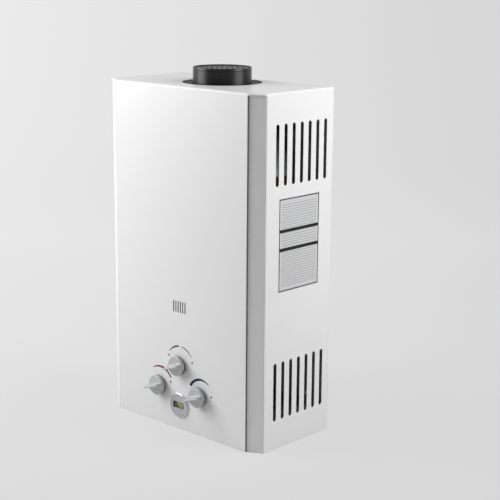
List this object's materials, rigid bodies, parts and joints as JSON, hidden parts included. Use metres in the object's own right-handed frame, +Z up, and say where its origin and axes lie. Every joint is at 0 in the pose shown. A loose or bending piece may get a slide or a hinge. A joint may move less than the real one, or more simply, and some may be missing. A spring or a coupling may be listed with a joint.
{
  "type": "portable propane water heater",
  "caption": "Upright gas water heater in a folded sheet-metal case with side vents, a round flue collar, front control knobs and a round temperature display.",
  "frame": {"origin": "centre of the case's base rim, on the plane it stands on", "axes": "+Z up along the case, +X to the right seen from the front, the front panel faces -Y and the wall side +Y"},
  "size_m": [0.399, 0.2236, 0.678],
  "materials": {
    "cover_white": "gloss white powder coat",
    "back_white": "satin white",
    "galvanised": "galvanised sheet",
    "flue_black": "gloss black enamel",
    "copper": "bare copper",
    "burner_steel": "stamped stainless",
    "brass": "cast and turned brass",
    "die_cast": "die-cast, as cast",
    "knob_silver": "silver-grey moulded",
    "bezel_silver": "silver",
    "screen_clear": "clear",
    "board_green": "lacquered board",
    "plastic_black": "matt",
    "plastic_white": "matt",
    "ceramic": null,
    "mica": "clear sheet",
    "cell_jacket": "printed jacket, unmarked",
    "spindle_steel": "turned steel"
  },
  "bodies": {
    "case": {"front_cover": "cover_white", "back_plate": "back_white", "bottom_plate": "galvanised", "flue_collar": "flue_black", "flue_grille": "flue_black", "flue_trim_plate": "flue_black", "exhaust_hood": "galvanised", "exchanger_shell": "copper", "exchanger_fins": "copper", "exchanger_tubes": "copper", "combustion_chamber": "copper", "wrap_tube": "copper", "burner_tray": "galvanised", "burner_blades": "burner_steel", "gas_manifold": "die_cast", "gas_nozzles": "brass", "season_valve": "die_cast", "gas_valve": "die_cast", "gas_solenoid": "plastic_black", "gas_feed_pipe": "copper", "gas_inlet_fitting": "brass", "cold_inlet_fitting": "brass", "hot_outlet_fitting": "brass", "water_valve": "brass", "diaphragm_cover": "brass", "microswitch": "plastic_black", "switch_bracket": "galvanised", "cold_feed_pipe": "copper", "hot_outlet_pipe": "copper", "relief_valve": "brass", "ignition_electrode": "ceramic", "flame_sensor": "ceramic", "electrode_clamps": "galvanised", "sight_glass": "mica", "overheat_switch": "plastic_black", "temperature_probe": "brass", "control_box": "plastic_white", "control_lid": "plastic_white", "battery_box": "plastic_black", "lid_pin": "spindle_steel", "battery_cells": "cell_jacket", "battery_contacts": "burner_steel", "display_bezel": "bezel_silver", "display_window": "screen_clear", "display_board": "board_green", "exchanger_brackets": "galvanised"},
    "gas_knob": {"gas_knob": "knob_silver", "gas_spindle": "spindle_steel"},
    "season_knob": {"season_knob": "knob_silver", "season_spindle": "spindle_steel"},
    "water_knob": {"water_knob": "knob_silver", "water_spindle": "spindle_steel"},
    "push_rod": {"push_rod": "spindle_steel"},
    "switch_lever": {"switch_lever": "spindle_steel"},
    "relief_knob": {"relief_knob": "plastic_black"},
    "battery_lid": {"battery_lid": "plastic_black"}
  },
  "joints": [
    {"name": "gas_knob_turn", "type": "hinge", "parent": "case", "child": "gas_knob", "pos_m": [-0.054, -0.1, 0.077], "axis": [0, 1, 0], "range_deg": [0, 216]},
    {"name": "season_knob_turn", "type": "hinge", "parent": "case", "child": "season_knob", "pos_m": [0, -0.1, 0.1265], "axis": [0, 1, 0], "range_deg": [0, 216]},
    {"name": "water_knob_turn", "type": "hinge", "parent": "case", "child": "water_knob", "pos_m": [0.054, -0.1, 0.077], "axis": [0, 1, 0], "range_deg": [0, 216]},
    {"name": "push_rod_slide", "type": "slide", "parent": "case", "child": "push_rod", "axis": [-1, 0, 0], "range_m": [0, 0.004], "stiffness_N_per_m": 300},
    {"name": "switch_lever_turn", "type": "hinge", "parent": "case", "child": "switch_lever", "pos_m": [-0.001, -0.02, 0.112], "axis": [0, 1, 0], "range_deg": [0, 8]},
    {"name": "relief_knob_turn", "type": "hinge", "parent": "case", "child": "relief_knob", "pos_m": [0.086, -0.02, 0.02], "axis": [0, 0, 1], "range_deg": [0, 180]},
    {"name": "battery_lid_hinge", "type": "hinge", "parent": "case", "child": "battery_lid", "pos_m": [0.112, 0.0885, 0.0125], "axis": [1, 0, 0], "range_deg": [0, 90]}
  ],
  "couplings": [
    {"joint": "switch_lever_turn", "follows": "push_rod_slide", "rad_per_m": 34.5}
  ]
}
